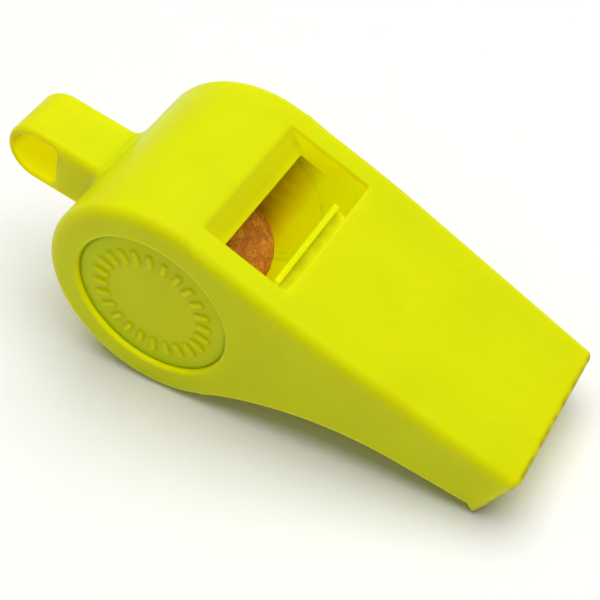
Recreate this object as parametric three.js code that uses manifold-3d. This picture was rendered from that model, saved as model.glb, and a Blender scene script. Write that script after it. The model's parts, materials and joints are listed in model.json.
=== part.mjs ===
// Pea whistle for calling and training a dog: a moulded plastic shell with a flat mouthpiece, a round
// barrel closed by a sunk cap on each side, a windway block pushed in from the mouth, and a loose cork pea.
//
// The shell is drawn in its own frame: origin on the barrel's axis, +X along the flat top towards the
// mouth, +Y across the width, +Z out of the flat top. The whole whistle is then stood the way it rests on
// a table, on its barrel and the bead under its mouth, with the origin under the middle of its box.
// All lengths are millimetres and all angles are degrees.

import * as THREE from 'three';
import { mergeVertices } from 'three/addons/utils/BufferGeometryUtils.js';
import Module from 'manifold-3d';

// Barrel
const BARREL_RADIUS = 11;
const BODY_WIDTH = 20.4;
const EDGE_RADIUS = 1.1;
const CHAMBER_RADIUS = 8.7;
const INNER_WIDTH = 15;

// Mouthpiece
const TIP_X = 34.2;
const TIP_WIDTH = 17.6;
const TAPER_START_X = 10.5;
const TIP_SLANT = 3;
const TIP_EDGE_RADIUS = 0.5;
const NECK_START_ANGLE = -39.5;
const NECK_RADIUS = 28.4;
const UNDERSIDE_SLOPE = 9.3;
const BEAD_LENGTH = 1.7;
const BEAD_DEPTH = 0.7;

// Window and windway
const LABIUM_X = 2.1;
const LABIUM_THICKNESS = 0.25;
const RAMP_START_X = -0.15;
const ROOF_END_X = 8.8;
const ROOF_THICKNESS = 1.3;
const WINDOW_FOOT_X = 8.4;
const WINDOW_FOOT_Z = 2.2;
const SLOT_WIDTH = 11;
const SLOT_FLOOR_Z = 5.6;

// Windway block
const BLOCK_GAP = 0.3;
const BLOCK_NOSE_X = 7.25;
const BLOCK_HEEL_X = 7.4;
const BLOCK_MOUTH_INSET = 0.4;
const WINDWAY_HEIGHT = 1.7;
const LIP_HEIGHT = 0.6;
const LIP_THICKNESS = 0.6;
const LIP_BACK_SLOPE = 0.1;

// Side caps
const CAP_HOLE_RADIUS = 7.75;
const CAP_GAP = 0.3;
const CAP_INSET = 0.5;
const CAP_CHAMFER = 0.15;
const RIB_COUNT = 24;
const RIB_INNER_RADIUS = 4.7;
const RIB_LENGTH = 1.5;
const RIB_WIDTH = 0.55;
const RIB_HEIGHT = 0.25;

// Lanyard lug
const LUG_CENTRE_X = -17.4;
const LUG_CENTRE_Z = -2.75;
const LUG_RADIUS = 3.2;
const LUG_WIDTH = 6.5;
const LUG_TILT = 12;
const LUG_ROOT_LENGTH = 8.4;
const LUG_EDGE_RADIUS = 0.5;
const LUG_HOLE_RADIUS = 2.35;
const LUG_HOLE_LENGTH = 2.25;
const LUG_HOLE_CORNER = 0.7;

// Cork pea
const PEA_RADIUS = 5;
const PEA_CLEARANCE = 0.25;
const PEA_SIDE_OFFSET = 2.3;

const ROUND_STEPS = 96;
const CORNER_STEPS = 3;
const NECK_STEPS = 14;
const BEAD_STEPS = 6;
// How far a cutter runs past the surface that it cuts.
const OVERCUT = 2;

const plastic = new THREE.MeshStandardMaterial({ color: 0xdcee08, roughness: 0.38, metalness: 0 });
const cork = new THREE.MeshStandardMaterial({ color: 0xa8683a, roughness: 0.95, metalness: 0 });

const wasm = await Module();
wasm.setup();

const radians = THREE.MathUtils.degToRad;

// A closed geometry as a solid that can be cut and joined.
function solidFrom(geometry) {
  const bare = new THREE.BufferGeometry();
  bare.setAttribute('position', geometry.getAttribute('position'));
  bare.setIndex(geometry.index);
  const merged = mergeVertices(bare, 1e-4);
  return new wasm.Manifold(new wasm.Mesh({
    numProp: 3,
    vertProperties: merged.getAttribute('position').array,
    triVerts: new Uint32Array(merged.index.array),
  }));
}

function geometryFrom(solid) {
  const mesh = solid.getMesh();
  const geometry = new THREE.BufferGeometry();
  geometry.setAttribute('position', new THREE.BufferAttribute(mesh.vertProperties, 3));
  geometry.setIndex(new THREE.BufferAttribute(mesh.triVerts, 1));
  geometry.computeVertexNormals();
  return geometry;
}

// A side view drawn in X and Z, as thick as width, centred on the middle plane.
function plateFrom(shape, width, edge = 0) {
  const geometry = new THREE.ExtrudeGeometry(shape, {
    depth: width - 2 * edge,
    bevelEnabled: edge > 0,
    bevelThickness: edge,
    bevelSize: edge,
    bevelOffset: -edge,
    bevelSegments: 3,
    curveSegments: 20,
  });
  geometry.translate(0, 0, edge - width / 2);
  geometry.rotateX(Math.PI / 2);
  return geometry;
}

function polygon(corners) {
  return new THREE.Shape(corners.map(([x, z]) => new THREE.Vector2(x, z)));
}

// A quarter turn of profile points about a corner's centre, for a lathe.
function roundCorner(centreR, centreY, radius, fromAngle) {
  const points = [];
  for (let i = 0; i <= CORNER_STEPS; i++) {
    const angle = radians(fromAngle + 90 * i / CORNER_STEPS);
    points.push(new THREE.Vector2(centreR + radius * Math.cos(angle), centreY + radius * Math.sin(angle)));
  }
  return points;
}

// The neck is an arc that leaves the barrel as a tangent and sweeps round to the mouthpiece's underside.
const neckStart = {
  x: BARREL_RADIUS * Math.cos(radians(NECK_START_ANGLE)),
  z: BARREL_RADIUS * Math.sin(radians(NECK_START_ANGLE)),
};
const neckCentre = {
  x: neckStart.x * (1 + NECK_RADIUS / BARREL_RADIUS),
  z: neckStart.z * (1 + NECK_RADIUS / BARREL_RADIUS),
};
const neckEnd = {
  x: neckCentre.x - NECK_RADIUS * Math.sin(radians(UNDERSIDE_SLOPE)),
  z: neckCentre.z + NECK_RADIUS * Math.cos(radians(UNDERSIDE_SLOPE)),
};

// Height of the underside above the barrel's axis. Behind the neck it runs inside the barrel.
function undersideZ(x) {
  if (x <= neckStart.x) return x * Math.tan(radians(NECK_START_ANGLE));
  if (x < neckEnd.x) return neckCentre.z + Math.sqrt(NECK_RADIUS ** 2 - (x - neckCentre.x) ** 2);
  const alongBead = THREE.MathUtils.clamp((x - TIP_X + BEAD_LENGTH) / BEAD_LENGTH, 0, 1);
  const bead = BEAD_DEPTH * Math.sin(Math.min(alongBead * 1.5, 1) * Math.PI / 2);
  return neckEnd.z + (x - neckEnd.x) * Math.tan(radians(UNDERSIDE_SLOPE)) - bead;
}

function halfWidth(x) {
  const alongTaper = THREE.MathUtils.clamp((x - TAPER_START_X) / (TIP_X - TAPER_START_X), 0, 1);
  return THREE.MathUtils.lerp(BODY_WIDTH, TIP_WIDTH, alongTaper) / 2;
}

// One cross-section of the mouthpiece: a rectangle with round corners, made smaller all round by inset.
function mouthpieceRing(x, inset) {
  const half = halfWidth(x) - inset;
  const top = BARREL_RADIUS - inset;
  const bottom = undersideZ(x) + inset;
  const radius = EDGE_RADIUS - inset;
  const corners = [
    [half - radius, top - radius, 0],
    [radius - half, top - radius, 90],
    [radius - half, bottom + radius, 180],
    [half - radius, bottom + radius, 270],
  ];
  const points = [];
  for (const [y, z, fromAngle] of corners) {
    for (const corner of roundCorner(y, z, radius, fromAngle)) {
      const alongBead = THREE.MathUtils.clamp((x - TIP_X + BEAD_LENGTH) / BEAD_LENGTH, 0, 1);
      const lean = alongBead * (BARREL_RADIUS - corner.y) * Math.tan(radians(TIP_SLANT));
      points.push([x - lean, corner.x, corner.y]);
    }
  }
  return points;
}

// Joins rings of equal length into a closed skin, with a fan of triangles over each end.
function skinOver(rings) {
  const positions = rings.flat(2);
  const count = rings[0].length;
  const triangles = [];
  for (let ring = 0; ring < rings.length - 1; ring++) {
    for (let i = 0; i < count; i++) {
      const a = ring * count + i;
      const b = ring * count + (i + 1) % count;
      triangles.push(a, b, a + count);
      triangles.push(b, b + count, a + count);
    }
  }
  const last = (rings.length - 1) * count;
  for (let i = 1; i < count - 1; i++) {
    triangles.push(0, i + 1, i);
    triangles.push(last, last + i, last + i + 1);
  }
  const geometry = new THREE.BufferGeometry();
  geometry.setAttribute('position', new THREE.Float32BufferAttribute(positions, 3));
  geometry.setIndex(triangles);
  return geometry;
}

function mouthpiece() {
  const rings = [mouthpieceRing(0, 0)];
  for (let i = 0; i <= NECK_STEPS; i++) {
    const x = THREE.MathUtils.lerp(neckStart.x, neckEnd.x, i / NECK_STEPS);
    rings.push(mouthpieceRing(x, 0));
  }
  const beadEndX = TIP_X - TIP_EDGE_RADIUS;
  for (let i = 0; i <= BEAD_STEPS; i++) {
    const x = THREE.MathUtils.lerp(TIP_X - BEAD_LENGTH, beadEndX, i / BEAD_STEPS);
    rings.push(mouthpieceRing(x, 0));
  }
  for (let i = 1; i <= CORNER_STEPS; i++) {
    const angle = radians(90 * i / CORNER_STEPS);
    const inset = TIP_EDGE_RADIUS * (1 - Math.cos(angle));
    rings.push(mouthpieceRing(beadEndX + TIP_EDGE_RADIUS * Math.sin(angle), inset));
  }
  return skinOver(rings);
}

function barrel() {
  const half = BODY_WIDTH / 2;
  return new THREE.LatheGeometry([
    new THREE.Vector2(0, -half),
    ...roundCorner(BARREL_RADIUS - EDGE_RADIUS, EDGE_RADIUS - half, EDGE_RADIUS, -90),
    ...roundCorner(BARREL_RADIUS - EDGE_RADIUS, half - EDGE_RADIUS, EDGE_RADIUS, 0),
    new THREE.Vector2(0, half),
  ], ROUND_STEPS);
}

// Turns a plate drawn about the lug's eye, with +X towards the barrel, into its place behind the barrel.
function placeOnLug(geometry) {
  geometry.rotateY(-radians(LUG_TILT));
  geometry.translate(LUG_CENTRE_X, 0, LUG_CENTRE_Z);
  return geometry;
}

function lug() {
  const outline = new THREE.Shape();
  outline.moveTo(LUG_ROOT_LENGTH, LUG_RADIUS);
  outline.lineTo(0, LUG_RADIUS);
  outline.absarc(0, 0, LUG_RADIUS, Math.PI / 2, Math.PI * 1.5, false);
  outline.lineTo(LUG_ROOT_LENGTH, -LUG_RADIUS);
  return placeOnLug(plateFrom(outline, LUG_WIDTH, LUG_EDGE_RADIUS));
}

// The eye for the lanyard is round at the back and squared off, with round corners, towards the barrel.
function lugHole() {
  const flatX = LUG_HOLE_LENGTH;
  const corner = LUG_HOLE_CORNER;
  const outline = new THREE.Shape();
  outline.absarc(0, 0, LUG_HOLE_RADIUS, Math.PI / 2, Math.PI * 1.5, false);
  outline.absarc(flatX - corner, corner - LUG_HOLE_RADIUS, corner, Math.PI * 1.5, 0, false);
  outline.absarc(flatX - corner, LUG_HOLE_RADIUS - corner, corner, 0, Math.PI / 2, false);
  return placeOnLug(plateFrom(outline, LUG_WIDTH + OVERCUT));
}

// The chamber's bore, with a smaller hole through each side wall for its cap.
function chamber() {
  const inner = INNER_WIDTH / 2;
  const outside = BODY_WIDTH / 2 + OVERCUT;
  return new THREE.LatheGeometry([
    new THREE.Vector2(0, -outside),
    new THREE.Vector2(CAP_HOLE_RADIUS, -outside),
    new THREE.Vector2(CAP_HOLE_RADIUS, -inner),
    new THREE.Vector2(CHAMBER_RADIUS, -inner),
    new THREE.Vector2(CHAMBER_RADIUS, inner),
    new THREE.Vector2(CAP_HOLE_RADIUS, inner),
    new THREE.Vector2(CAP_HOLE_RADIUS, outside),
    new THREE.Vector2(0, outside),
  ], ROUND_STEPS);
}

const roofUnderZ = BARREL_RADIUS - ROOF_THICKNESS;
const labiumZ = Math.sqrt(CHAMBER_RADIUS ** 2 - LABIUM_X ** 2) + LABIUM_THICKNESS;

// The window is cut down through the top. Its rear wall is the ramp that ends in the labium's edge, and
// its front wall runs down from the end of the roof and leans back to meet the chamber's bore.
function windowCut() {
  const rampRun = (LABIUM_X - RAMP_START_X) / (BARREL_RADIUS - labiumZ);
  return plateFrom(polygon([
    [RAMP_START_X - OVERCUT * rampRun, BARREL_RADIUS + OVERCUT],
    [LABIUM_X, labiumZ],
    [LABIUM_X, WINDOW_FOOT_Z],
    [WINDOW_FOOT_X, WINDOW_FOOT_Z],
    [ROOF_END_X, SLOT_FLOOR_Z],
    [ROOF_END_X, BARREL_RADIUS + OVERCUT],
  ]), INNER_WIDTH);
}

// The slot from the mouth to the window holds the block, with the windway left open above it.
function windwaySlot() {
  return plateFrom(polygon([
    [ROOF_END_X - OVERCUT, SLOT_FLOOR_Z],
    [TIP_X + OVERCUT, SLOT_FLOOR_Z],
    [TIP_X + OVERCUT, roofUnderZ],
    [ROOF_END_X - OVERCUT, roofUnderZ],
  ]), SLOT_WIDTH);
}

function bodyShell() {
  const whole = solidFrom(barrel()).add(solidFrom(mouthpiece())).add(solidFrom(lug()));
  const hollow = solidFrom(chamber()).add(solidFrom(windowCut())).add(solidFrom(windwaySlot()));
  return geometryFrom(whole.subtract(hollow).subtract(solidFrom(lugHole())));
}

// The block is a bar whose top is the windway's floor. A lip across its nose, which juts into the window,
// turns the air up towards the labium.
function windwayBlock() {
  const bottom = SLOT_FLOOR_Z + BLOCK_GAP;
  const floor = roofUnderZ - WINDWAY_HEIGHT;
  const lipBackX = BLOCK_NOSE_X + LIP_THICKNESS;
  const endX = TIP_X - BLOCK_MOUTH_INSET - (BARREL_RADIUS - bottom) * Math.tan(radians(TIP_SLANT));
  return plateFrom(polygon([
    [BLOCK_HEEL_X, bottom],
    [endX, bottom],
    [endX, floor],
    [lipBackX + LIP_BACK_SLOPE, floor],
    [lipBackX, floor + LIP_HEIGHT],
    [BLOCK_NOSE_X, floor + LIP_HEIGHT],
  ]), SLOT_WIDTH - 2 * BLOCK_GAP);
}

// One raised rib of the plain ring of ribs on the cap's face, lying along +X before it is turned.
function capRib(index, floorY) {
  const rib = new THREE.BoxGeometry(RIB_LENGTH, 2 * RIB_HEIGHT, RIB_WIDTH);
  rib.translate(RIB_INNER_RADIUS + RIB_LENGTH / 2, floorY, 0);
  rib.rotateY(2 * Math.PI * index / RIB_COUNT);
  return rib;
}

// A cap drawn with its outer face towards +Y: a disc that plugs the side wall's hole, a little sunk in it.
function sideCap() {
  const inner = INNER_WIDTH / 2;
  const face = BODY_WIDTH / 2 - CAP_INSET;
  const radius = CAP_HOLE_RADIUS - CAP_GAP;
  let cap = solidFrom(new THREE.LatheGeometry([
    new THREE.Vector2(0, inner),
    new THREE.Vector2(radius, inner),
    new THREE.Vector2(radius, face - CAP_CHAMFER),
    new THREE.Vector2(radius - CAP_CHAMFER, face),
    new THREE.Vector2(0, face),
  ], ROUND_STEPS));
  for (let i = 0; i < RIB_COUNT; i++) {
    cap = cap.add(solidFrom(capRib(i, face)));
  }
  return geometryFrom(cap);
}

function corkPea() {
  return new THREE.SphereGeometry(PEA_RADIUS, 40, 24);
}

function named(name, geometry, material) {
  const mesh = new THREE.Mesh(geometry, material);
  mesh.name = name;
  return mesh;
}

// The nose drops until the barrel and the round lower edge of the bead touch the same level.
function standingAngle() {
  const beadX = TIP_X - TIP_EDGE_RADIUS;
  const edgeZ = undersideZ(beadX) + TIP_EDGE_RADIUS;
  const edgeX = beadX - (BARREL_RADIUS - edgeZ) * Math.tan(radians(TIP_SLANT));
  return Math.atan2(edgeZ, edgeX) + Math.asin((BARREL_RADIUS - TIP_EDGE_RADIUS) / Math.hypot(edgeX, edgeZ));
}

const capGeometry = sideCap();
const leftCap = named('side_cap_left', capGeometry, plastic);
const rightCap = named('side_cap_right', capGeometry, plastic);
rightCap.rotation.x = Math.PI;

const shellAndTrim = new THREE.Group();
shellAndTrim.add(named('body_shell', bodyShell(), plastic));
shellAndTrim.add(named('windway_block', windwayBlock(), plastic));
shellAndTrim.add(leftCap);
shellAndTrim.add(rightCap);
shellAndTrim.rotation.y = standingAngle();

// The pea has rolled to the lowest place in the chamber.
const pea = named('cork_pea', corkPea(), cork);
pea.position.set(0, PEA_SIDE_OFFSET, PEA_RADIUS + PEA_CLEARANCE - CHAMBER_RADIUS);

const whistle = new THREE.Group();
whistle.add(shellAndTrim);
whistle.add(pea);

// Sets the origin on the supporting surface, under the middle of the whistle's box.
whistle.updateMatrixWorld(true);
const box = new THREE.Box3().setFromObject(whistle, true);
whistle.position.set(-(box.min.x + box.max.x) / 2, -(box.min.y + box.max.y) / 2, -box.min.z);

export default whistle;
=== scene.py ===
# The looks of the training whistle: moulded plastic pieces, a cork pea, a pale floor and studio light.
#
# Each piece is drawn as a distance field, a function that is negative inside the piece and zero on its
# surface, and is then skinned with a fine mesh. That gives every edge and inside corner its moulded radius.
# The pieces are drawn in the whistle's own frame, as the CAD draws them: origin on the barrel's axis, +X
# along the flat top towards the mouth, +Y across, +Z out of the flat top, in millimetres. stand_up() then
# takes them into the row frame, in metres.

import json
import math

import bmesh
import bpy
import numpy as np
from mathutils import Matrix, Quaternion, Vector, noise


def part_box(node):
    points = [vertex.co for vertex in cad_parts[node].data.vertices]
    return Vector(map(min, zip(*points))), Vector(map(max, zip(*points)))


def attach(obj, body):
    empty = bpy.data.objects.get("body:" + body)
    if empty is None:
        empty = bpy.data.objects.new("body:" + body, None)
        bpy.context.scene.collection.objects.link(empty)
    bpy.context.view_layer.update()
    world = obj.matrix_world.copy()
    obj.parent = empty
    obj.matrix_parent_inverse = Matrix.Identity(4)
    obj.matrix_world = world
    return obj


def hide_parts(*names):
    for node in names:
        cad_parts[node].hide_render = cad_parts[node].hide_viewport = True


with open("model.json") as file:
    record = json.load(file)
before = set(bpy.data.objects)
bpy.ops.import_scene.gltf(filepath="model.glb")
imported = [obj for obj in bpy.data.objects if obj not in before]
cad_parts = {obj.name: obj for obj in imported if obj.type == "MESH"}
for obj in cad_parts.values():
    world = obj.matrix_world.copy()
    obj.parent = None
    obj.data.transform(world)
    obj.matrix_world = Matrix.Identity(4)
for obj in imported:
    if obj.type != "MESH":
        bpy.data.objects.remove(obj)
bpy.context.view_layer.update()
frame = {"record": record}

MM = 0.001

# Shell, in millimetres
BARREL_RADIUS = 11
BODY_WIDTH = 20.4
EDGE_RADIUS = 1.1
CHAMBER_RADIUS = 8.7
INNER_WIDTH = 15
TIP_X = 34.2
TIP_WIDTH = 17.6
TAPER_START_X = 10.5
TAPER_BLEND = 3
TIP_SLANT = math.radians(3)
TIP_EDGE_RADIUS = 0.5
NECK_START_ANGLE = math.radians(-39.5)
NECK_RADIUS = 28.4
UNDERSIDE_SLOPE = math.radians(9.3)
BEAD_LENGTH = 1.7
BEAD_DEPTH = 0.7
LABIUM_X = 2.1
LABIUM_THICKNESS = 0.25
RAMP_START_X = -0.15
ROOF_END_X = 8.8
ROOF_THICKNESS = 1.3
WINDOW_FOOT = (8.4, 2.2)
SLOT_WIDTH = 11
SLOT_FLOOR_Z = 5.6
WINDOW_EDGE_RADIUS = 0.16
AIR_CORNER_RADIUS = 0.14

# Lanyard lug
LUG_CENTRE = (-17.4, -2.75)
LUG_RADIUS = 3.2
LUG_WIDTH = 6.5
LUG_TILT = math.radians(12)
LUG_ROOT_LENGTH = 8.4
LUG_EDGE_RADIUS = 0.8
LUG_FILLET = 0.9
LUG_HOLE_RADIUS = 2.35
LUG_HOLE_LENGTH = 2.25
LUG_HOLE_CORNER = 0.7
LUG_HOLE_EDGE_RADIUS = 0.6

# Windway block
BLOCK_FIT = 0.04
BLOCK_NOSE_X = 7.25
BLOCK_HEEL = (7.4, 5.9)
BLOCK_EDGE_RADIUS = 0.12
BLOCK_MOUTH_INSET = 0.4
WINDWAY_HEIGHT = 1.7
LIP_HEIGHT = 0.6
LIP_THICKNESS = 0.6

# Side caps
CAP_HOLE_RADIUS = 7.75
CAP_HOLE_EDGE_RADIUS = 0.4
CAP_FIT = 0.015
CAP_INSET = 0.5
CAP_EDGE_RADIUS = 0.12
SEAM_EDGE_RADIUS = 0.02
RIB_COUNT = 24
RIB_MIDDLE_RADIUS = 5.45
RIB_LENGTH = 1.5
RIB_WIDTH = 0.55
RIB_HEIGHT = 0.25
RIB_SOFTNESS = 0.16

# Pea
PEA_RADIUS = 5
PEA_GRAIN = 0.8
PEA_PIT_DEPTH = 0.16

# Painted glow: an emission that stands in for the light that soaks through the walls, with painted shade
# where it is dimmed and a painted highlight on the caps' hole rims. Its colour where it is strong and where
# it is weak, how much of it shows in each place, as a fraction, and how far it reaches, in millimetres
GLOW_COLOUR = (0.92, 0.88, 0.0)
DEEP_GLOW_COLOUR = (0.9, 0.36, 0.0)
GLOW_STRENGTH = 0.32
GLOW_FADE = 0.3
GLOW_DEPTH = 0.6
RAMP_DIMMING = 0.6
SHADE_DIMMING = 0.85
SHADE_REACH = 3.2
EYE_GLOW = 1.0
FLANK_GLOW = 0.2
RIM_HIGHLIGHT = 1.0
RIM_HIGHLIGHT_WIDTH = 0.3
BLOCK_GLOW = 0.18

# Painted shade, darkening where shade falls in the caps' seams, at the ribs' feet, round the top of the
# lug's eye, behind the block's lip and round the mouth, and a reddish painted shade under the labium: its
# colour, how much of it lies in each place, as a fraction, and how far it spreads, in millimetres
PAINTED_SHADE_COLOUR = (0.30, 0.27, 0.004)
PAINTED_SHADE_WIDTH = 0.16
RIB_PAINTED_SHADE = 0.4
LIP_PAINTED_SHADE = 0.6
EYE_PAINTED_SHADE = 0.8
EYE_PAINTED_SHADE_WIDTH = 0.6
MOUTH_PAINTED_SHADE = 1.4
MOUTH_PAINTED_SHADE_WIDTH = 0.3
UNDER_LABIUM_SHADE_COLOUR = (0.42, 0.16, 0.01)
UNDER_LABIUM_SHADE_AMOUNT = 0.75

# Size of the cells that each surface is skinned with, and the room left round it
SHELL_CELL = 0.16
CAP_CELL = 0.12
BLOCK_CELL = 0.14
MARGIN = 0.5


# ---- distance fields -------------------------------------------------------------------------------------

def both(a, b, radius=0.0):
    """What is inside a and inside b, with the edge between them rounded."""
    outside = np.hypot(np.maximum(a + radius, 0), np.maximum(b + radius, 0))
    return np.minimum(np.maximum(a, b) + radius, 0) + outside - radius


def either(a, b, radius=0.0):
    """What is inside a or inside b, with the corner between them filled to a radius."""
    return -both(-a, -b, radius)


def disc(x, z, radius):
    return np.hypot(x, z) - radius


def half_plane(x, z, point, angle):
    """Negative on the left of a line through point that runs at that angle from +X towards +Z."""
    return (x - point[0]) * math.sin(angle) - (z - point[1]) * math.cos(angle)


def bar(x, z, length, radius):
    """A bar along +X from the origin, round at its start."""
    return np.hypot(x - np.clip(x, 0, length), z) - radius


NECK_START = (BARREL_RADIUS * math.cos(NECK_START_ANGLE), BARREL_RADIUS * math.sin(NECK_START_ANGLE))
NECK_CENTRE = tuple(c * (1 + NECK_RADIUS / BARREL_RADIUS) for c in NECK_START)
NECK_END = (
    NECK_CENTRE[0] - NECK_RADIUS * math.sin(UNDERSIDE_SLOPE),
    NECK_CENTRE[1] + NECK_RADIUS * math.cos(UNDERSIDE_SLOPE),
)
ROOF_UNDER_Z = BARREL_RADIUS - ROOF_THICKNESS
LABIUM_Z = math.sqrt(CHAMBER_RADIUS ** 2 - LABIUM_X ** 2) + LABIUM_THICKNESS


def bead(x):
    """How far the bite bead stands down from the underside."""
    along = np.clip((x - TIP_X + BEAD_LENGTH) / BEAD_LENGTH * 1.5, 0, 1)
    return BEAD_DEPTH * np.sin(along * math.pi / 2)


def underside(x, z):
    """Positive below the mouthpiece's underside: the neck's arc, then the straight part with the bead."""
    arc = NECK_RADIUS - np.hypot(x - NECK_CENTRE[0], z - NECK_CENTRE[1])
    straight = half_plane(x, z, NECK_END, UNDERSIDE_SLOPE) - bead(x)
    past_neck = half_plane(x, z, NECK_END, UNDERSIDE_SLOPE + math.pi / 2) > 0
    return np.where(past_neck, straight, arc)


def past_tip(x, z):
    """How far a point lies in front of the mouthpiece's slanted end face."""
    return (x - TIP_X + (BARREL_RADIUS - z) * math.tan(TIP_SLANT)) * math.cos(TIP_SLANT)


def side_outline(x, z):
    """The barrel and the mouthpiece seen from the side."""
    behind_neck = half_plane(x, z, (0, 0), NECK_START_ANGLE)
    mouth = both(z - BARREL_RADIUS, past_tip(x, z), TIP_EDGE_RADIUS)
    mouth = both(mouth, underside(x, z), TIP_EDGE_RADIUS)
    mouth = both(both(mouth, behind_neck), -x)
    return either(disc(x, z, BARREL_RADIUS), mouth)


def half_width(x):
    """Half the body's width, which tapers towards the mouth after a soft bend in front of the barrel."""
    bend = np.clip(x - TAPER_START_X + TAPER_BLEND, 0, 2 * TAPER_BLEND) ** 2 / (4 * TAPER_BLEND)
    run = bend + np.maximum(x - TAPER_START_X - TAPER_BLEND, 0)
    return BODY_WIDTH / 2 - run * (BODY_WIDTH - TIP_WIDTH) / 2 / (TIP_X - TAPER_START_X)


def lug_frame(x, z):
    """Coordinates about the lug's eye, the first one towards the barrel."""
    dx, dz = x - LUG_CENTRE[0], z - LUG_CENTRE[1]
    c, s = math.cos(LUG_TILT), math.sin(LUG_TILT)
    return dx * c + dz * s, dz * c - dx * s


def lug_eye(x, z):
    """The eye's outline: round at the back, squared off towards the barrel."""
    u, v = lug_frame(x, z)
    squared = both(u - LUG_HOLE_LENGTH, np.abs(v) - LUG_HOLE_RADIUS, LUG_HOLE_CORNER)
    return np.where(u < 0, disc(u, v, LUG_HOLE_RADIUS), squared)


def window_air(x, y, z):
    """The air over the ramp and through the window. Its front wall leans back to meet the chamber's bore."""
    ramp_angle = math.atan2(BARREL_RADIUS - LABIUM_Z, RAMP_START_X - LABIUM_X)
    over_ramp = -half_plane(x, z, (LABIUM_X, LABIUM_Z), ramp_angle)
    lean = math.atan2(SLOT_FLOOR_Z - WINDOW_FOOT[1], ROOF_END_X - WINDOW_FOOT[0])
    front = np.maximum(x - ROOF_END_X, half_plane(x, z, WINDOW_FOOT, lean))
    air = both(either(over_ramp, LABIUM_X - x), front)
    air = both(air, WINDOW_FOOT[1] - z)
    return both(air, np.abs(y) - INNER_WIDTH / 2, AIR_CORNER_RADIUS)


def slot_air(x, y, z):
    """The slot from the mouth to the window, which the block and the windway share."""
    middle = (SLOT_FLOOR_Z + ROOF_UNDER_Z) / 2
    air = both(np.abs(z - middle) - (ROOF_UNDER_Z - middle), WINDOW_FOOT[0] - x)
    return both(air, np.abs(y) - SLOT_WIDTH / 2, AIR_CORNER_RADIUS)


def hollow(x, y, z):
    """The air inside the shell: the chamber, the window and the slot."""
    chamber = both(disc(x, z, CHAMBER_RADIUS), np.abs(y) - INNER_WIDTH / 2)
    return either(either(window_air(x, y, z), slot_air(x, y, z)), chamber)


def shell(x, y, z):
    body = both(side_outline(x, z), np.abs(y) - half_width(x), EDGE_RADIUS)
    u, v = lug_frame(x, z)
    lug = both(bar(u, v, LUG_ROOT_LENGTH, LUG_RADIUS), np.abs(y) - LUG_WIDTH / 2, LUG_EDGE_RADIUS)
    body = either(body, lug, LUG_FILLET)
    body = both(body, -hollow(x, y, z), WINDOW_EDGE_RADIUS)
    outer_edge = np.where(np.abs(y) > (INNER_WIDTH + BODY_WIDTH) / 4, CAP_HOLE_EDGE_RADIUS, SEAM_EDGE_RADIUS)
    body = both(body, -disc(x, z, CAP_HOLE_RADIUS), outer_edge)
    return both(body, -lug_eye(x, z), LUG_HOLE_EDGE_RADIUS)


def block(x, y, z):
    """The windway block: a bar whose top is the windway's floor, with a lip across its nose."""
    floor = ROOF_UNDER_Z - WINDWAY_HEIGHT
    nose_lean = math.atan2(floor + LIP_HEIGHT - BLOCK_HEEL[1], BLOCK_NOSE_X - BLOCK_HEEL[0])
    nose = -half_plane(x, z, BLOCK_HEEL, nose_lean)
    lip = both(z - floor - LIP_HEIGHT, x - BLOCK_NOSE_X - LIP_THICKNESS, BLOCK_EDGE_RADIUS)
    end = x - TIP_X + BLOCK_MOUTH_INSET + (BARREL_RADIUS - z) * math.tan(TIP_SLANT)
    solid = both(either(z - floor, lip, BLOCK_EDGE_RADIUS), nose, BLOCK_EDGE_RADIUS)
    solid = both(solid, end * math.cos(TIP_SLANT), BLOCK_EDGE_RADIUS)
    solid = both(solid, SLOT_FLOOR_Z + BLOCK_FIT - z, BLOCK_EDGE_RADIUS)
    return both(solid, np.abs(y) - SLOT_WIDTH / 2 + BLOCK_FIT, BLOCK_EDGE_RADIUS)


def rib_outline(x, z):
    """The ring of ribs seen from the side: each one a short bar, round at both ends, along a radius."""
    step = 2 * math.pi / RIB_COUNT
    radius = np.hypot(x, z)
    angle = np.mod(np.arctan2(z, x), step) - step / 2
    along = np.abs(radius * np.cos(angle) - RIB_MIDDLE_RADIUS) - (RIB_LENGTH - RIB_WIDTH) / 2
    return np.hypot(np.maximum(along, 0), radius * np.sin(angle)) - RIB_WIDTH / 2


def cap(x, y, z):
    """A side cap with its outer face towards +Y: a disc with a plain ring of ribs on it."""
    face = BODY_WIDTH / 2 - CAP_INSET
    radius = np.hypot(x, z)
    plate = np.abs(y - (face + INNER_WIDTH / 2) / 2) - (face - INNER_WIDTH / 2) / 2
    outer_edge = np.where(y > (face + INNER_WIDTH / 2) / 2, CAP_EDGE_RADIUS, SEAM_EDGE_RADIUS)
    solid = both(radius - CAP_HOLE_RADIUS + CAP_FIT, plate, outer_edge)
    raised = both(rib_outline(x, z), np.abs(y - face) - RIB_HEIGHT, RIB_SOFTNESS)
    return either(solid, raised, RIB_SOFTNESS)


# ---- skinning --------------------------------------------------------------------------------------------

def project(field, points, rounds=4, step=0.01):
    """Moves points onto the field's zero surface along its slope."""
    for _ in range(rounds):
        value = field(*points.T)
        slope = np.stack([
            field(*(points + offset).T) - field(*(points - offset).T) for offset in np.eye(3) * step
        ], axis=1) / (2 * step)
        points = points - slope * (value / np.maximum((slope ** 2).sum(axis=1), 0.1))[:, None]
    return points


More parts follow.
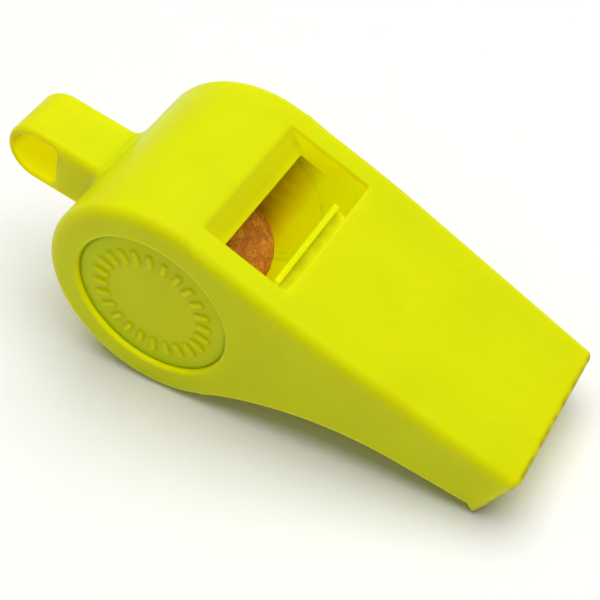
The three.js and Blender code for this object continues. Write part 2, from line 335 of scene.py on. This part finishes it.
def skin(name, field, low, high, cell):
    """A closed mesh object on the field's zero surface, by surface nets: one point in each grid cell that
    the surface passes through, moved onto the surface, and a face across each grid edge that it cuts."""
    axes = [np.arange(a, b + cell, cell) for a, b in zip(low, high)]
    x, y, z = np.meshgrid(*axes, indexing="ij", sparse=True)
    inside = field(x, y, z) < 0
    corners = sum(
        inside[i:i - 1 or None, j:j - 1 or None, k:k - 1 or None].astype(np.int8)
        for i in (0, 1) for j in (0, 1) for k in (0, 1)
    )
    crossed = (corners > 0) & (corners < 8)
    index = np.full(crossed.shape, -1, dtype=np.int64)
    index[crossed] = np.arange(crossed.sum())
    middles = np.argwhere(crossed) + 0.5
    points = project(field, middles * cell + np.array(low, float))
    faces = []
    for axis in range(3):
        first = np.take(inside, range(inside.shape[axis] - 1), axis)
        second = np.take(inside, range(1, inside.shape[axis]), axis)
        cut = np.argwhere(first != second)
        across = [a for a in (0, 1, 2) if a != axis]
        cut = cut[(cut[:, across] > 0).all(axis=1)]
        cut = cut[(cut[:, across] < np.array(crossed.shape)[across]).all(axis=1)]
        quad = []
        for du, dv in ((1, 1), (0, 1), (0, 0), (1, 0)):
            at = cut.copy()
            at[:, across[0]] -= du
            at[:, across[1]] -= dv
            quad.append(index[tuple(at.T)])
        quad = np.stack(quad, axis=1)
        leaving = first[tuple(cut.T)]
        flip = leaving if axis == 1 else ~leaving
        quad[flip] = quad[flip][:, ::-1]
        faces.append(quad)
    return mesh_object(name, points, np.concatenate(faces))


def labium_shade(x, z):
    """How deep a point lies in the labium's shade: 1 below the labium, none towards the open window."""
    below = z < LABIUM_Z - LABIUM_THICKNESS
    return np.clip((LABIUM_X + SHADE_REACH - x) / SHADE_REACH, 0, 1) * below


def painted_glow(x, y, z):
    """How much painted glow, an emission standing in for the light that soaks through the thin walls, shows
    at a point of the surface:
    none on the outside but a little on the lug's flanks and on the ramp, and most of it on the walls of the
    window, of the chamber and of the lug's eye, less under the labium and towards the top of the eye as
    painted shade, and a painted highlight on the lower rim of the holes for the side caps."""
    inner = np.clip(1 - hollow(x, y, z) / GLOW_FADE, 0, 1) * np.clip((BARREL_RADIUS - z) / GLOW_DEPTH, 0, 1)
    ramp = np.clip(z - LABIUM_Z + LABIUM_THICKNESS, 0, 1) * (x < LABIUM_X)
    ramp = ramp * np.clip((INNER_WIDTH / 2 - np.abs(y)) / GLOW_FADE, 0, 1)
    on_lug = x < -BARREL_RADIUS
    # Painted shade: the eye's glow fades towards its top
    below_top = np.clip(0.6 - lug_frame(x, z)[1] / LUG_HOLE_RADIUS, 0, 1)
    eye = EYE_GLOW * np.clip(1 - lug_eye(x, z) / GLOW_FADE, 0, 1) * below_top
    flank = FLANK_GLOW * np.clip((np.abs(y) - LUG_WIDTH / 2) / GLOW_FADE + 1, 0, 1)
    # Painted shade: the glow is dimmed on the ramp and under the labium
    walls = inner * (1 - RAMP_DIMMING * ramp) * (1 - SHADE_DIMMING * labium_shade(x, z))
    # Painted highlight on the lower rim of each cap's hole, where its wall faces up to the light
    rim = np.exp(-((np.hypot(x, z) - CAP_HOLE_RADIUS) / RIM_HIGHLIGHT_WIDTH) ** 2)
    rim = RIM_HIGHLIGHT * rim * np.clip(-z / CAP_HOLE_RADIUS, 0, 1) * (np.abs(y) > BODY_WIDTH / 2 - CAP_INSET)
    return np.maximum(np.maximum(walls, rim), np.maximum(eye, flank) * on_lug)


def painted_shade(x, y, z):
    """How much painted shade lies at a point, darkening where shade falls: in the seam round each cap, most
    along its top, at the feet of the cap's ribs, round the upper edge of the lug's eye, behind the windway
    block's lip and round the mouth's rim."""
    seam = np.exp(-((np.hypot(x, z) - CAP_HOLE_RADIUS + PAINTED_SHADE_WIDTH / 2) / PAINTED_SHADE_WIDTH) ** 2)
    seam = seam * np.clip(0.6 + z / CAP_HOLE_RADIUS, 0, 1)
    foot = np.exp(-((rib_outline(x, z) - PAINTED_SHADE_WIDTH / 2) / PAINTED_SHADE_WIDTH) ** 2)
    face = BODY_WIDTH / 2 - CAP_INSET
    on_face = np.exp(-((np.abs(y) - face) / PAINTED_SHADE_WIDTH) ** 2)
    from_lip = x - BLOCK_NOSE_X - LIP_THICKNESS
    on_floor = np.abs(z - ROOF_UNDER_Z + WINDWAY_HEIGHT) < LIP_HEIGHT / 2
    on_floor = on_floor & (np.abs(y) < SLOT_WIDTH / 2 - BLOCK_FIT)
    behind_lip = np.clip(2 - from_lip / LIP_THICKNESS, 0, 1) * (from_lip > 0) * on_floor
    outside = np.maximum(seam * (np.abs(y) > face - PAINTED_SHADE_WIDTH), RIB_PAINTED_SHADE * foot * on_face)
    upper_half = np.clip(lug_frame(x, z)[1], 0, 1)
    eye = np.exp(-(lug_eye(x, z) / EYE_PAINTED_SHADE_WIDTH) ** 2) * upper_half * (x < -BARREL_RADIUS)
    mouth = MOUTH_PAINTED_SHADE * np.exp(-((past_tip(x, z) + MOUTH_PAINTED_SHADE_WIDTH / 2) / MOUTH_PAINTED_SHADE_WIDTH) ** 2)
    return np.maximum.reduce([outside, EYE_PAINTED_SHADE * eye, mouth, LIP_PAINTED_SHADE * behind_lip])


def painted_shade_under_labium(x, y, z):
    """How much painted shade, reddish as if lit by light bounced off the pea, lies on the chamber's wall at
    a point, most of it under the labium.
    """
    return UNDER_LABIUM_SHADE_AMOUNT * labium_shade(x, z) * (hollow(x, y, z) < PAINTED_SHADE_WIDTH)


def mark_points(mesh, name, values):
    """Keeps a number for each point of a mesh, for its material to read."""
    marks = mesh.attributes.new(name, "FLOAT", "POINT")
    marks.data.foreach_set("value", values.astype(np.float32))


def mesh_object(name, points, faces):
    mesh = bpy.data.meshes.new(name)
    mesh.from_pydata(stand_up(points).tolist(), [], faces.tolist())
    mesh.shade_smooth()
    # Painted glow, standing in for the light that soaks through the walls
    mark_points(mesh, "painted_glow", painted_glow(*points.T))
    # Painted shade in seams, creases and hollows
    mark_points(mesh, "painted_shade", painted_shade(*points.T))
    # Painted shade under the labium, reddish as if lit by light bounced off the pea
    mark_points(mesh, "painted_shade_under_labium", painted_shade_under_labium(*points.T))
    made = bpy.data.objects.new(name, mesh)
    bpy.context.collection.objects.link(made)
    return made


# ---- placing ---------------------------------------------------------------------------------------------

def standing_angle():
    """How far the nose drops until the barrel and the round lower edge of the bead touch the same level."""
    x = TIP_X - TIP_EDGE_RADIUS
    z = NECK_END[1] + (x - NECK_END[0]) * math.tan(UNDERSIDE_SLOPE) - BEAD_DEPTH + TIP_EDGE_RADIUS
    x -= (BARREL_RADIUS - z) * math.tan(TIP_SLANT)
    return math.atan2(z, x) + math.asin((BARREL_RADIUS - TIP_EDGE_RADIUS) / math.hypot(x, z))


BARREL_AXIS = np.array(frame["record"]["behaviour"]["joints"][0]["pos_m"])
STANDING = standing_angle()


def stand_up(points):
    """Points of the whistle's own frame, in millimetres, as points of the row frame, in metres."""
    c, s = math.cos(STANDING), math.sin(STANDING)
    turn = np.array([[c, 0, s], [0, 1, 0], [-s, 0, c]])
    return np.asarray(points) @ turn.T * MM + BARREL_AXIS


# ---- pea -------------------------------------------------------------------------------------------------

def cork_pea():
    """A ball of pressed cork: slightly out of round, with the pits and seams between its granules."""
    low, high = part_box("cork_pea")
    centre = (Vector(low) + Vector(high)) / 2
    made = bmesh.new()
    bmesh.ops.create_icosphere(made, subdivisions=6, radius=PEA_RADIUS)
    for vertex in made.verts:
        at = vertex.co.copy()
        nearest, next_nearest = noise.voronoi(at / PEA_GRAIN)[0][:2]
        seam = max(0.0, 1 - (next_nearest - nearest) * 5)
        pit = max(0.0, noise.noise(at * 1.3 + Vector((7, 3, 1)))) ** 2
        lump = noise.noise(at * 0.35) * 0.08
        depth = PEA_PIT_DEPTH * (0.45 * seam + 1.6 * pit) + 0.08 - lump
        vertex.co = at * (1 - depth / PEA_RADIUS)
    made.transform(Matrix.Scale(MM, 4))
    made.transform(Matrix.Translation(centre))
    mesh = bpy.data.meshes.new("pea_cork_ball")
    made.to_mesh(mesh)
    made.free()
    mesh.shade_smooth()
    ball = bpy.data.objects.new("pea_cork_ball", mesh)
    bpy.context.collection.objects.link(ball)
    return ball


# ---- materials -------------------------------------------------------------------------------------------

class Nodes:
    """Short calls for building one material's node tree."""

    def __init__(self, name):
        self.material = bpy.data.materials.new(name)
        self.material.use_nodes = True
        self.tree = self.material.node_tree
        self.tree.nodes.clear()
        self.surface = self.add("ShaderNodeBsdfPrincipled")
        out = self.add("ShaderNodeOutputMaterial")
        self.link(self.surface.outputs["BSDF"], out.inputs["Surface"])
        self.place = self.add("ShaderNodeTexCoord").outputs["Object"]

    def add(self, kind, **settings):
        node = self.tree.nodes.new(kind)
        for key, value in settings.items():
            setattr(node, key, value)
        return node

    def link(self, source, target):
        self.tree.links.new(source, target)

    def noise(self, size_mm, detail=2.0, distortion=0.0, stretch=None):
        """Noise whose largest features are about size_mm across, drawn out along one axis by stretch."""
        node = self.add("ShaderNodeTexNoise")
        node.inputs["Scale"].default_value = 1 / (size_mm * MM)
        node.inputs["Detail"].default_value = detail
        node.inputs["Distortion"].default_value = distortion
        source = self.place
        if stretch:
            mapping = self.add("ShaderNodeMapping")
            mapping.inputs["Scale"].default_value = stretch
            self.link(source, mapping.inputs["Vector"])
            source = mapping.outputs["Vector"]
        self.link(source, node.inputs["Vector"])
        return node.outputs["Fac"]

    def point_value(self, name):
        """A number that mark_points() kept for each point of the mesh."""
        return self.add("ShaderNodeAttribute", attribute_name=name).outputs["Fac"]

    def wobbled(self, size_mm, reach_mm):
        """The place, pushed about by noise, so that what is drawn there has no straight lines."""
        push = self.add("ShaderNodeTexNoise")
        push.inputs["Scale"].default_value = 1 / (size_mm * MM)
        self.link(self.place, push.inputs["Vector"])
        scaled = self.add("ShaderNodeVectorMath", operation="MULTIPLY_ADD")
        self.link(push.outputs["Color"], scaled.inputs[0])
        scaled.inputs[1].default_value = (reach_mm * MM,) * 3
        self.link(self.place, scaled.inputs[2])
        return scaled.outputs["Vector"]

    def cells(self, size_mm, feature="F1", place=None):
        node = self.add("ShaderNodeTexVoronoi", feature=feature)
        node.inputs["Scale"].default_value = 1 / (size_mm * MM)
        self.link(place or self.place, node.inputs["Vector"])
        return node

    def remap(self, source, low, high, to_low, to_high):
        node = self.add("ShaderNodeMapRange")
        for socket, value in zip(("From Min", "From Max", "To Min", "To Max"), (low, high, to_low, to_high)):
            node.inputs[socket].default_value = value
        self.link(source, node.inputs["Value"])
        return node.outputs["Result"]

    def mix(self, factor, first, second):
        """A blend of two colours, each a colour or an output."""
        node = self.add("ShaderNodeMix", data_type="RGBA")
        self.link(factor, node.inputs["Factor"])
        for socket, value in ((node.inputs[6], first), (node.inputs[7], second)):
            if isinstance(value, tuple):
                socket.default_value = (*value, 1)
            else:
                self.link(value, socket)
        return node.outputs[2]

    def math(self, operation, first, second):
        node = self.add("ShaderNodeMath", operation=operation)
        for socket, value in zip(node.inputs, (first, second)):
            if isinstance(value, (int, float)):
                socket.default_value = value
            else:
                self.link(value, socket)
        return node.outputs["Value"]

    def bump(self, height, depth_mm, after=None):
        node = self.add("ShaderNodeBump")
        node.inputs["Distance"].default_value = depth_mm * MM
        self.link(height, node.inputs["Height"])
        if after:
            self.link(after, node.inputs["Normal"])
        return node.outputs["Normal"]


def base_colour(n, light, deep):
    """Faint flow clouding and specks, with the painted shade in seams, creases and hollows and the reddish
    painted shade under the labium over them.
    """
    clouds = n.remap(n.noise(9, 3, 0.6), 0.35, 0.65, 0, 1)
    specks = n.remap(n.noise(0.35, 1), 0.60, 0.72, 0, 0.35)
    patches = n.remap(n.noise(1.2, 3), 0.3, 0.6, 0.25, 0.7)
    colour = n.mix(clouds, light, deep)
    colour = n.mix(specks, colour, deep)
    colour = n.mix(n.math("MULTIPLY", n.point_value("painted_shade"), patches), colour, PAINTED_SHADE_COLOUR)
    colour = n.mix(n.math("MULTIPLY", n.point_value("painted_shade_under_labium"), patches), colour, UNDER_LABIUM_SHADE_COLOUR)
    n.link(colour, n.surface.inputs["Base Color"])


def moulded_finish(n, gloss):
    """A satin finish with orange peel, a fine grain and hair scratches."""
    scratches = n.remap(n.noise(0.9, 4, 0.2, (0.05, 1.3, 1.0)), 0.62, 0.70, 0, 1)
    cross_scratches = n.remap(n.noise(0.8, 4, 0.2, (1.0, 0.06, 1.2)), 0.64, 0.72, 0, 1)
    scuffs = n.math("MAXIMUM", scratches, cross_scratches)
    smooth = n.remap(n.noise(2.5, 3), 0.3, 0.7, gloss - 0.04, gloss + 0.05)
    n.link(n.math("ADD", smooth, n.math("MULTIPLY", scuffs, 0.08)), n.surface.inputs["Roughness"])
    peel = n.bump(n.noise(1.4, 2), 0.012)
    grain = n.bump(n.noise(0.12, 2), 0.004, peel)
    n.link(n.bump(scuffs, -0.004, grain), n.surface.inputs["Normal"])


def wall_glow(n, glow):
    """Painted glow, an emission standing in for the light that soaks through the walls: amber where it is
    weak, yellow where it is strong.
    """
    glow_amount = n.point_value("painted_glow")
    uneven = n.math("MULTIPLY", glow_amount, n.remap(n.noise(5, 2), 0.3, 0.7, 0.9, 1.1))
    tint = n.mix(glow_amount, DEEP_GLOW_COLOUR, GLOW_COLOUR)
    n.link(n.mix(uneven, (0, 0, 0), tint), n.surface.inputs["Emission Color"])
    n.surface.inputs["Emission Strength"].default_value = GLOW_STRENGTH * glow


def plastic(name, light, deep, gloss, glow=1.0):
    """Fluorescent moulded plastic, in which red and green light spread but blue hardly does."""
    n = Nodes(name)
    base_colour(n, light, deep)
    moulded_finish(n, gloss)
    wall_glow(n, glow)
    n.surface.inputs["IOR"].default_value = 1.49
    n.surface.inputs["Specular IOR Level"].default_value = 0.1
    n.surface.inputs["Specular Tint"].default_value = (1, 1, 0.1, 1)
    n.surface.inputs["Subsurface Weight"].default_value = 1
    n.surface.inputs["Subsurface Radius"].default_value = (1, 0.5, 0.03)
    n.surface.inputs["Subsurface Scale"].default_value = 3 * MM
    return n.material


def cork(name):
    """Pressed cork: reddish-brown granules of differing tone, dark seams and pores, no shine."""
    n = Nodes(name)
    wobbled = n.wobbled(0.5, 0.7)
    granules = n.cells(PEA_GRAIN, place=wobbled)
    tone = n.add("ShaderNodeSeparateColor")
    n.link(granules.outputs["Color"], tone.inputs["Color"])
    colour = n.mix(tone.outputs[0], (0.66, 0.20, 0.035), (0.90, 0.36, 0.08))
    colour = n.mix(n.remap(n.noise(0.4, 4), 0.4, 0.7, 0, 0.5), colour, (0.50, 0.13, 0.025))
    edges = n.cells(PEA_GRAIN, "DISTANCE_TO_EDGE", wobbled).outputs["Distance"]
    seams = n.remap(edges, 0.0, 0.08, 0.35, 0)
    pores = n.remap(n.noise(0.25, 2), 0.62, 0.70, 0, 0.75)
    dark = n.math("MAXIMUM", seams, pores)
    n.link(n.mix(dark, colour, (0.16, 0.05, 0.02)), n.surface.inputs["Base Color"])
    n.link(n.remap(tone.outputs[1], 0, 1, 0.78, 0.95), n.surface.inputs["Roughness"])
    rough = n.bump(n.noise(0.25, 4), 0.05)
    n.link(n.bump(dark, -0.08, rough), n.surface.inputs["Normal"])
    return n.material


def floor_paper():
    """Matt white studio paper with a barely visible tooth."""
    n = Nodes("studio_paper")
    colour = n.mix(n.noise(6, 3), (0.90, 0.90, 0.90), (0.93, 0.93, 0.93))
    n.link(colour, n.surface.inputs["Base Color"])
    n.link(n.remap(n.noise(2, 2), 0, 1, 0.85, 0.95), n.surface.inputs["Roughness"])
    n.link(n.bump(n.noise(0.6, 2), 0.02), n.surface.inputs["Normal"])
    return n.material


# ---- pieces ----------------------------------------------------------------------------------------------

def finish_piece(piece, body, node, material):
    """Gives a piece its material and the body it moves with, and hides the CAD node that it stands for."""
    piece.data.materials.append(material)
    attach(piece, body)
    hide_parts(node)


def make_shell():
    lowest = (LUG_CENTRE[0] - LUG_RADIUS - MARGIN, -BODY_WIDTH / 2 - MARGIN, -BARREL_RADIUS - MARGIN)
    highest = (TIP_X + MARGIN, BODY_WIDTH / 2 + MARGIN, BARREL_RADIUS + MARGIN)
    piece = skin("moulded_shell", shell, lowest, highest, SHELL_CELL)
    material = plastic("shell_plastic", (0.68, 0.75, 0.004), (0.65, 0.71, 0.004), 0.34)
    finish_piece(piece, "whistle", "body_shell", material)


def make_block():
    lowest = (BLOCK_NOSE_X - MARGIN, -SLOT_WIDTH / 2 - MARGIN, SLOT_FLOOR_Z - MARGIN)
    highest = (TIP_X + MARGIN, SLOT_WIDTH / 2 + MARGIN, ROOF_UNDER_Z)
    piece = skin("fipple_block", block, lowest, highest, BLOCK_CELL)
    material = plastic("block_plastic", (0.67, 0.72, 0.004), (0.64, 0.69, 0.004), 0.40, BLOCK_GLOW)
    finish_piece(piece, "whistle", "windway_block", material)


def make_caps():
    """The left cap, whose outer face is towards +Y, and the right one, its mirror image."""
    material = plastic("cap_plastic", (0.67, 0.74, 0.004), (0.64, 0.70, 0.004), 0.36)
    reach = CAP_HOLE_RADIUS + MARGIN
    inner, outer = INNER_WIDTH / 2 - MARGIN, BODY_WIDTH / 2 + MARGIN
    lowest, highest = (-reach, inner, -reach), (reach, outer, reach)
    left = skin("barrel_side_cap_left", cap, lowest, highest, CAP_CELL)
    finish_piece(left, "whistle", "side_cap_left", material)

    def mirrored(x, y, z):
        return cap(x, -y, z)

    lowest, highest = (-reach, -outer, -reach), (reach, -inner, reach)
    right = skin("barrel_side_cap_right", mirrored, lowest, highest, CAP_CELL)
    finish_piece(right, "whistle", "side_cap_right", material)


def make_pea():
    finish_piece(cork_pea(), "pea", "cork_pea", cork("pressed_cork"))


# ---- stage -----------------------------------------------------------------------------------------------

# Floor: its size, and how far it lies below the whistle so that the two don't flicker, in metres
FLOOR_SIZE = 3
FLOOR_DROP = 0.00002


def make_floor():
    bpy.ops.mesh.primitive_plane_add(size=FLOOR_SIZE, location=(0, 0, -FLOOR_DROP))
    floor = bpy.context.object
    floor.name = "studio_floor"
    floor.data.materials.append(floor_paper())


# Light: one large soft lamp overhead, in metres and watts, and a faint warm surround
LAMP_PLACE = (0.02, 0.05, 0.50)
LAMP_AIM = (0, 0, 0.01)
LAMP_SIZE = 0.58
LAMP_POWER = 2.9
SURROUND_COLOUR = (1, 0.95, 0.9, 1)
SURROUND_STRENGTH = 0.24


def make_lamp():
    data = bpy.data.lights.new("overhead_softbox", "AREA")
    data.shape = "DISK"
    data.size = LAMP_SIZE
    data.energy = LAMP_POWER
    lamp = bpy.data.objects.new("overhead_softbox", data)
    lamp.location = LAMP_PLACE
    lamp.rotation_euler = (Vector(LAMP_AIM) - Vector(LAMP_PLACE)).to_track_quat("-Z", "Y").to_euler()
    bpy.context.collection.objects.link(lamp)


def make_surround():
    world = bpy.data.worlds.new("studio")
    world.use_nodes = True
    background = world.node_tree.nodes["Background"]
    background.inputs["Color"].default_value = SURROUND_COLOUR
    background.inputs["Strength"].default_value = SURROUND_STRENGTH
    bpy.context.scene.world = world
    bpy.context.scene.view_settings.view_transform = "Standard"


# Camera: its angles in degrees, its distance and the point it looks at in metres, its lens in millimetres
CAMERA_AZIMUTH = 28.9
CAMERA_ELEVATION = 47.4
CAMERA_ROLL = 0.6
CAMERA_DISTANCE = 0.137
CAMERA_LENS = 84.8
CAMERA_TARGET = (0, 0.0037, 0.0030)


def make_camera():
    azimuth, elevation = math.radians(CAMERA_AZIMUTH), math.radians(CAMERA_ELEVATION)
    back = Vector((
        math.sin(azimuth) * math.cos(elevation),
        -math.cos(azimuth) * math.cos(elevation),
        math.sin(elevation),
    ))
    data = bpy.data.cameras.new("camera")
    data.lens = CAMERA_LENS
    data.clip_start = 0.01
    camera = bpy.data.objects.new("camera", data)
    camera.location = Vector(CAMERA_TARGET) + back * CAMERA_DISTANCE
    aim = (-back).to_track_quat("-Z", "Y") @ Quaternion((0, 0, 1), math.radians(CAMERA_ROLL))
    camera.rotation_euler = aim.to_euler()
    bpy.context.collection.objects.link(camera)
    bpy.context.scene.camera = camera


make_camera()
make_shell()
make_block()
make_caps()
make_pea()
make_floor()
make_lamp()
make_surround()
